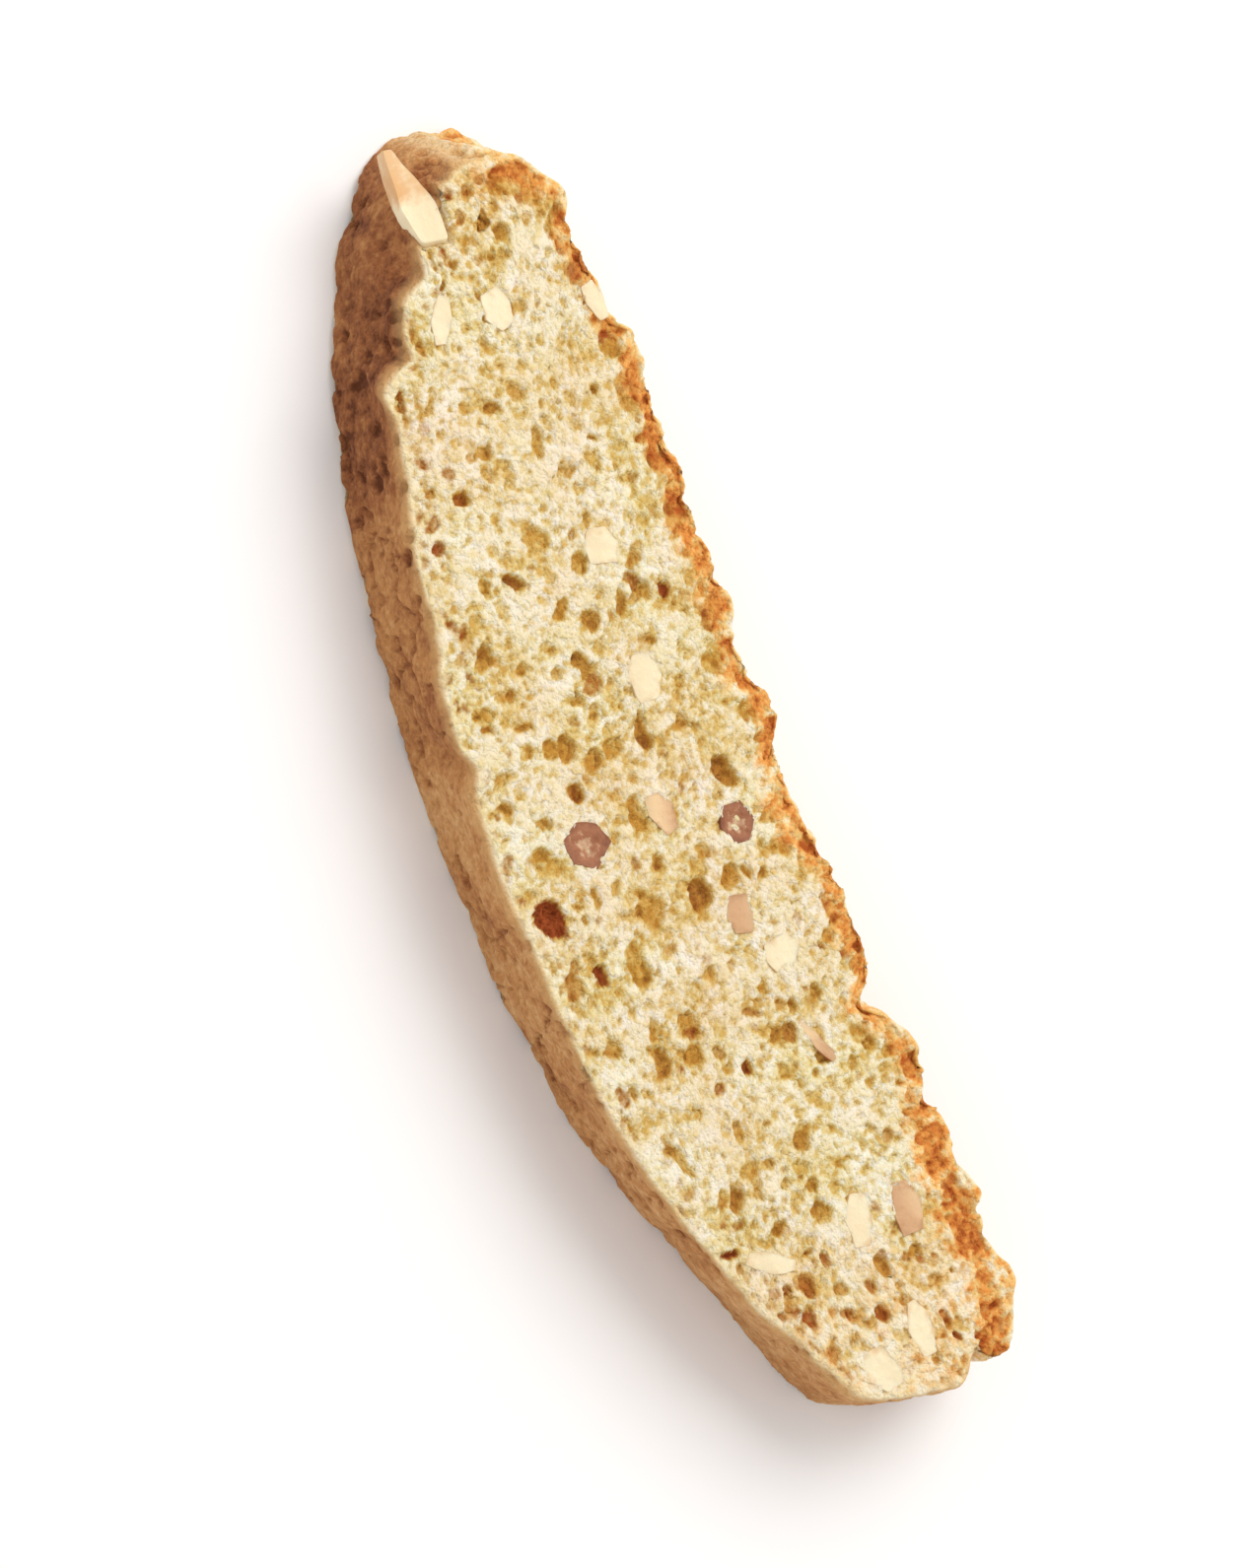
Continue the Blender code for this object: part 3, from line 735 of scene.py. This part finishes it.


# twice-baked almond dough, sawn across: dry, matt and full of pores. The walls between the pores
# are pale cream, the pores turn ochre with depth, partly their own colour and partly painted
# shade, the base is a ragged orange-brown crust with painted shade in its hollows, and the dome a
# thin tan skin, golden near its edge partly by painted light, browner towards the left end as
# painted shade, with a pale edge where the saw went through that is partly a painted highlight
def doughMaterial():
    material = bpy.data.materials.new("bakedDough")
    material.use_nodes = True
    tree = material.node_tree
    tree.nodes.clear()
    here = addNode(tree, "TexCoord", out="Object")
    keys = ("pit", "tone", "toast", "crust", "baseSide", "toEdge")
    pit, tone, toast, crust, baseSide, toEdge = [
        addNode(tree, "Attribute", out="Fac", attribute_name=key) for key in keys
    ]
    clouds = []
    for size, detail in [dough[key] for key in ("mottleMm", "gritMm", "fineMm", "broadMm")]:
        settings = {"Vector": here, "Scale": 1 / (size * mm), "Detail": detail, "Roughness": 0.55}
        cloud = addNode(tree, "TexNoise", settings, out="Fac")
        clouds.append(addNode(tree, "MapRange", {0: cloud, 1: 0.3, 2: 0.7}))
    mottle, grit, fine, broad = clouds

    # a ridge is 0 and a deep pore 1, blurred by the fine noise; the ramp on it paints shade into
    # the pores over the crumb's own colour
    depth = addNode(tree, "MapRange", {0: pit, 1: dough["ridgeMm"], 2: dough["deepMm"]})
    blur = addNode(tree, "Math", {0: fine, 1: 0.2, 2: -0.1}, operation="MULTIPLY_ADD")
    depth = addNode(tree, "Math", {0: depth, 1: blur}, operation="ADD", use_clamp=True)
    crumb = addNode(tree, "ValToRGB", {0: depth}, stops=dough["crumb"])
    share = addNode(tree, "Math", {0: mottle, 1: 0.55}, operation="MULTIPLY")
    butter = {0: share, 6: crumb, 7: linearColour(dough["butter"])}
    crumb = addNode(tree, "Mix", butter, out=2, data_type="RGBA", blend_type="MULTIPLY")
    patches = {0: broad, 1: -0.5, 2: 0.4}
    share = addNode(tree, "Math", patches, operation="MULTIPLY_ADD", use_clamp=True)
    blush = {0: share, 6: crumb, 7: linearColour(dough["blush"])}
    crumb = addNode(tree, "Mix", blush, out=2, data_type="RGBA", blend_type="MULTIPLY")
    share = addNode(tree, "Math", {0: tone, 1: 0.48}, operation="SUBTRACT", use_clamp=True)
    share = addNode(tree, "Math", {0: share, 1: depth}, operation="MULTIPLY")
    share = addNode(tree, "Math", {0: share, 1: 3.2}, operation="MULTIPLY", use_clamp=True)
    brown = {0: share, 6: crumb, 7: linearColour(dough["brownHole"])}
    crumb = addNode(tree, "Mix", brown, out=2, data_type="RGBA")

    # the base crust and the browned ends: darker with depth, which is painted shade in the
    # hollows, and with the grit, the crust's uneven browning
    shade = addNode(tree, "Math", {0: grit, 1: 0.5, 2: depth}, operation="MULTIPLY_ADD")
    toasted = addNode(tree, "ValToRGB", {0: shade}, stops=dough["toasted"])
    share = addNode(tree, "Math", {0: grit, 1: 1.2, 2: 0.3}, operation="MULTIPLY_ADD")
    share = addNode(tree, "Math", {0: share, 1: toast}, operation="MULTIPLY", use_clamp=True)
    browned = {0: share, 6: crumb, 7: toasted}
    colour = addNode(tree, "Mix", browned, out=2, data_type="RGBA")

    # the pale edge along the dome: a cream layer of crust, partly a painted highlight where the
    # rounded edge catches light
    band = addNode(tree, "MapRange", {0: toEdge, 1: 1.4, 2: 0.3}, interpolation_type="SMOOTHSTEP")
    notBase = addNode(tree, "Math", {0: 1.0, 1: baseSide}, operation="SUBTRACT")
    band = addNode(tree, "Math", {0: band, 1: notBase}, operation="MULTIPLY")
    band = addNode(tree, "Math", {0: band, 1: 0.55}, operation="MULTIPLY")
    pale = {0: band, 6: colour, 7: linearColour(dough["paleLitEdge"])}
    colour = addNode(tree, "Mix", pale, out=2, data_type="RGBA")

    # the dome's skin: golden just under that edge, partly its baked colour and partly painted
    # light on the upper crust, browner towards the left end as painted shade, and paler on the end
    # itself.
    # Places here are in metres
    x, y, z = addNode(tree, "SeparateXYZ", {0: here}, out=None).outputs
    leftShadeAndPaleEnd = addNode(tree, "MapRange", {0: x, 1: 0.0, 2: -0.045, 3: -0.1, 4: 0.24})
    leftShadeAndPaleEnd = addNode(tree, "Math", {0: leftShadeAndPaleEnd, 1: notBase}, operation="MULTIPLY")
    endward = addNode(tree, "MapRange", {0: x, 1: -0.056, 2: -0.062, 3: 0.0, 4: -2.0})
    bare = addNode(tree, "Math", {0: baseSide, 1: notBase}, operation="MULTIPLY")
    leftShadeAndPaleEnd = addNode(tree, "Math", {0: endward, 1: bare, 2: leftShadeAndPaleEnd}, operation="MULTIPLY_ADD")
    # darker with depth: painted shade in the skin's pits and cracks
    shade = addNode(tree, "Math", {0: depth, 1: 1.2, 2: leftShadeAndPaleEnd}, operation="MULTIPLY_ADD")
    shade = addNode(tree, "Math", {0: broad, 1: 0.3, 2: shade}, operation="MULTIPLY_ADD")
    shade = addNode(tree, "Math", {0: grit, 1: 0.26, 2: shade}, operation="MULTIPLY_ADD")
    dome = addNode(tree, "ValToRGB", {0: shade}, stops=dough["dome"])
    # painted light on the upper crust, over its golden baked colour
    goldAndLitTop = addNode(tree, "MapRange", {0: z, 1: 0.0108, 2: 0.0128, 3: 0.0, 4: 0.8})
    gold = {0: goldAndLitTop, 6: dome, 7: linearColour(dough["goldLitDomeEdge"])}
    dome = addNode(tree, "Mix", gold, out=2, data_type="RGBA")
    share = addNode(tree, "MapRange", {0: crust, 1: 0.45, 2: 0.95})
    domeShare = addNode(tree, "MapRange", {0: notBase, 1: 0.2, 2: 0.75})
    share = addNode(tree, "Math", {0: share, 1: domeShare}, operation="MULTIPLY")
    skin = {0: share, 6: colour, 7: dome}
    colour = addNode(tree, "Mix", skin, out=2, data_type="RGBA")

    height = addNode(tree, "Math", {0: grit, 1: 0.8, 2: fine}, operation="MULTIPLY_ADD")
    bump = addNode(tree, "Bump", {"Strength": 0.9, "Distance": 0.0003, "Height": height})
    crumbly = {
        "Base Color": colour,
        "Roughness": 0.88,
        "Normal": bump,
        "Subsurface Weight": 0.15,
        "Subsurface Radius": (1.0, 0.6, 0.3),
        "Subsurface Scale": 0.0012,
        "Specular IOR Level": 0.25,
    }
    addNode(tree, "OutputMaterial", {"Surface": addNode(tree, "BsdfPrincipled", crumbly)})
    return material


biscotto.data.materials.append(doughMaterial())
print("dough material made")


nutShape = {
    "faceRows": (0.12, 0.3, 0.48, 0.64, 0.78, 0.88, 0.95),  # shares of the way to the edge
    "edgeRows": ((0.985, -0.01), (1.0, 0.06)),  # share, and how far the worn edge drops
    "upperSides": (0.3, 0.65, 1.0),
    "lowerSides": (0.35, 0.7, 0.95),
    "foot": 0.9,
    "broken": 0.35,  # how far the middle of a nut in its skin has broken away
    "grain": (0.05, 1.3, 0.04, 0.5),  # strength and size of the layered and of the fine noise
    "uneven": 0.08,
    "endCut": (-59.5, -56.5),  # the one across the end is cut only at its near end
}


# a chopped nut: rows run round its corners, from the middle of the cut face out over a slightly
# worn edge, down the sides through its three rings, and close under it
def almondPiece(node, kind):
    rings, normal = allAlmonds[node]
    around = almonds["around"]
    seed = int(node[-2:])

    def loop(ring):
        closedRing = np.concatenate([ring, ring[:1]])
        steps = np.linalg.norm(np.diff(closedRing, axis=0), axis=1)
        along = np.concatenate([[0], np.cumsum(steps)]) / steps.sum()
        wanted = np.arange(around) / around
        return np.stack([np.interp(wanted, along, closedRing[:, i]) for i in range(3)], axis=1)

    top, waist, foot = (loop(ring) for ring in rings)
    middleTop, middleFoot = top.mean(axis=0), foot.mean(axis=0)
    lift = normal * almonds["proud"]
    rows, core = [], []
    for share in nutShape["faceRows"]:
        rows.append(middleTop + (top - middleTop) * share + lift)
        core.append(np.full(around, 1 - share))
    for share, drop in nutShape["edgeRows"]:
        rows.append(middleTop + (top - middleTop) * share + lift * 0.3 - normal * drop)
        core.append(np.full(around, 0.0))
    for share in nutShape["upperSides"]:
        rows.append(top + (waist - top) * share)
        core.append(np.full(around, -0.5))
    for share in nutShape["lowerSides"]:
        rows.append(waist + (foot - waist) * share)
        core.append(np.full(around, -0.5))
    rows.append(middleFoot + (foot - middleFoot) * nutShape["foot"])
    core.append(np.full(around, -0.5))
    points = np.concatenate(rows)
    core = np.concatenate(core)
    strength, size, fineStrength, fineSize = nutShape["grain"]
    grain = strength * layeredNoise(points * (1, 1, 0.4), size, 2, 60 + seed)
    grain += fineStrength * latticeNoise(points, fineSize, 61 + seed)
    if kind == "brownSkin":
        inCore = smoothStep(core + 0.25 * latticeNoise(points, 1.2, seed), 0.3, 0.75)
        grain -= nutShape["broken"] * inCore
    points = points + normal * np.where(core > -0.2, grain, 0)[:, None]
    uneven = np.column_stack([latticeNoise(points, 1.0, 70 + seed + i) for i in range(3)])
    points += nutShape["uneven"] * uneven
    rowTotal = len(rows)
    index = np.arange(rowTotal * around).reshape(rowTotal, around)
    after = np.roll(index, -1, axis=1)
    quads = np.stack([index[:-1], index[1:], after[1:], after[:-1]], axis=-1).reshape(-1, 4)
    poleTop, poleFoot = len(points), len(points) + 1
    first, last = points[:around].mean(axis=0), points[-around:].mean(axis=0)
    points = np.concatenate([points, [first, last]])
    core = np.concatenate([core, [1.0, -0.5]])
    if node == acrossEnd:
        core = smoothStep(points[:, 0], *nutShape["endCut"]) * 1.3 - 0.55
    caps = [(poleTop, int(a), int(b)) for a, b in zip(index[0], after[0])]
    caps += [(poleFoot, int(b), int(a)) for a, b in zip(index[-1], after[-1])]
    name = node.replace("almond_", "almondPiece")
    piece = gridMesh(name, points, quads.tolist() + caps, {"core": core})
    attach(piece, "root")
    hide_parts(node)
    return piece


nut = {
    "blanched": ("#f0dfba", "#e2c69c", "#dba86f"),
    "toasted": ("#e6c294", "#d2a071", "#b2754a"),
    "brownSkin": ("#ecd0a6", "#a56a48", "#7a452b"),
    "cloudMm": 1.6,
    "veinScaleMm": 18.0,  # the wave's bands lie 2 pi / 20 of this apart
}


# chopped almond: a dense, slightly oily nut. Its cut face is smooth and warm cream, a toasted one
# is tan, and one in its skin shows a red-brown rim round a paler broken core
def almondMaterial(kind):
    material = bpy.data.materials.new(kind + "Almond")
    material.use_nodes = True
    tree = material.node_tree
    tree.nodes.clear()
    pale, mid, dark = nut[kind]
    here = addNode(tree, "TexCoord", out="Object")
    core = addNode(tree, "Attribute", out="Fac", attribute_name="core")
    size = nut["cloudMm"] * (0.5 if kind == "brownSkin" else 1)
    soft = {"Vector": here, "Scale": 1 / (size * mm), "Detail": 5, "Roughness": 0.6}
    cloud = addNode(tree, "TexNoise", soft, out="Fac")
    scale = 1 / (nut["veinScaleMm"] * mm)
    lines = {"Vector": here, "Scale": scale, "Distortion": 6, "Detail": 2}
    grain = addNode(tree, "TexWave", lines, out="Fac", bands_direction="Y")
    share = addNode(tree, "Math", {0: core, 1: -0.45, 2: cloud}, operation="MULTIPLY_ADD")
    stops = [(0.1, pale), (0.42, pale), (0.75, dark)]
    if kind == "brownSkin":
        stops = [(0.1, pale), (0.27, mid), (0.6, dark)]
    colour = addNode(tree, "ValToRGB", {0: share}, stops=stops)
    veins = {0: grain, 1: 0.4 if kind == "blanched" else 0.55}
    share = addNode(tree, "Math", veins, operation="MULTIPLY")
    veined = {0: share, 6: colour, 7: linearColour(dark if kind == "toasted" else mid)}
    colour = addNode(tree, "Mix", veined, out=2, data_type="RGBA")
    bump = addNode(tree, "Bump", {"Strength": 0.8, "Distance": 0.0003, "Height": cloud})
    oily = {
        "Base Color": colour,
        "Roughness": 0.55,
        "Normal": bump,
        "Subsurface Weight": 0.25,
        "Subsurface Radius": (1.0, 0.65, 0.4),
        "Subsurface Scale": 0.0015,
        "Specular IOR Level": 0.35,
    }
    addNode(tree, "OutputMaterial", {"Surface": addNode(tree, "BsdfPrincipled", oily)})
    return material


for kind in ("blanched", "toasted", "brownSkin"):
    material = almondMaterial(kind)
    for number in almonds[kind]:
        almondPiece(f"almond_{number:02d}", kind).data.materials.append(material)
print("almonds made:", len(allAlmonds))


studio = {
    "floorColour": "#f6f3f1",
    "floorReach": 3.0,
    "floorRoughness": 0.7,
    "worldStrength": 0.79,
    "keyPlace": (-0.22, 0.34, 0.60),
    "keySize": 0.5,
    "keyPower": 3.05,
}


def plainFloor():
    mesh = bpy.data.meshes.new("floor")
    reach = studio["floorReach"]
    corners = [(-reach, -reach, 0), (reach, -reach, 0), (reach, reach, 0), (-reach, reach, 0)]
    mesh.from_pydata(corners, [], [(0, 1, 2, 3)])
    floor = bpy.data.objects.new("floor", mesh)
    bpy.context.scene.collection.objects.link(floor)
    material = bpy.data.materials.new("paleTable")
    material.use_nodes = True
    shader = material.node_tree.nodes["Principled BSDF"]
    shader.inputs["Base Color"].default_value = linearColour(studio["floorColour"])
    shader.inputs["Roughness"].default_value = studio["floorRoughness"]
    mesh.materials.append(material)


def studioLight():
    world = bpy.data.worlds.new("whiteStudio")
    bpy.context.scene.world = world
    world.use_nodes = True
    background = world.node_tree.nodes["Background"]
    background.inputs["Color"].default_value = (1, 1, 1, 1)
    background.inputs["Strength"].default_value = studio["worldStrength"]
    data = bpy.data.lights.new("key", "AREA")
    data.size = studio["keySize"]
    data.energy = studio["keyPower"]
    key = bpy.data.objects.new("key", data)
    key.location = studio["keyPlace"]
    key.rotation_euler = (-Vector(studio["keyPlace"])).to_track_quat("-Z", "Y").to_euler()
    bpy.context.scene.collection.objects.link(key)
    bpy.context.scene.view_settings.view_transform = "Standard"


viewpoint = {
    "lean": 23.0,  # degrees
    "tilt": 19.5,
    "place": (-30.9, -230.8, 546.7),  # from the middle of the cut face, in mm
    "aim": 0.7,  # height of the aim, as a share of the thickness
    "sensorHeight": 24,
    "lens": 96.7,
    "clipStart": 0.01,
}


# the camera looks down on the lying slice, turned so that it leans as a propped slice does
def addCamera():
    lean, tilt = math.radians(viewpoint["lean"]), math.radians(viewpoint["tilt"])
    along = Vector((math.sin(lean), -math.cos(lean), 0.0))
    flat = Vector((math.cos(lean), math.sin(lean), 0.0))
    facing = flat * math.sin(tilt) + Vector((0.0, 0.0, math.cos(tilt)))
    across = facing.cross(along)
    # rows of the turn from camera to slice axes
    turn = Matrix((along, across, facing))
    x, y, z = viewpoint["place"]
    place = Vector((x + loaf["moveX"], y + loaf["moveY"], z + thickness)) * mm
    middleSpot = Vector((0.0, 0.0, thickness * viewpoint["aim"])) * mm
    look = (middleSpot - place).normalized()
    upHint = turn @ Vector((0, 1, 0))
    right = look.cross(upHint).normalized()
    up = right.cross(look)
    data = bpy.data.cameras.new("camera")
    data.sensor_fit = "VERTICAL"
    data.sensor_height = viewpoint["sensorHeight"]
    data.lens = viewpoint["lens"]
    data.clip_start = viewpoint["clipStart"]
    camera = bpy.data.objects.new("camera", data)
    axes = Matrix((right, up, -look)).transposed()
    camera.matrix_world = Matrix.Translation(place) @ axes.to_4x4()
    bpy.context.scene.collection.objects.link(camera)
    bpy.context.scene.camera = camera


plainFloor()
studioLight()
addCamera()
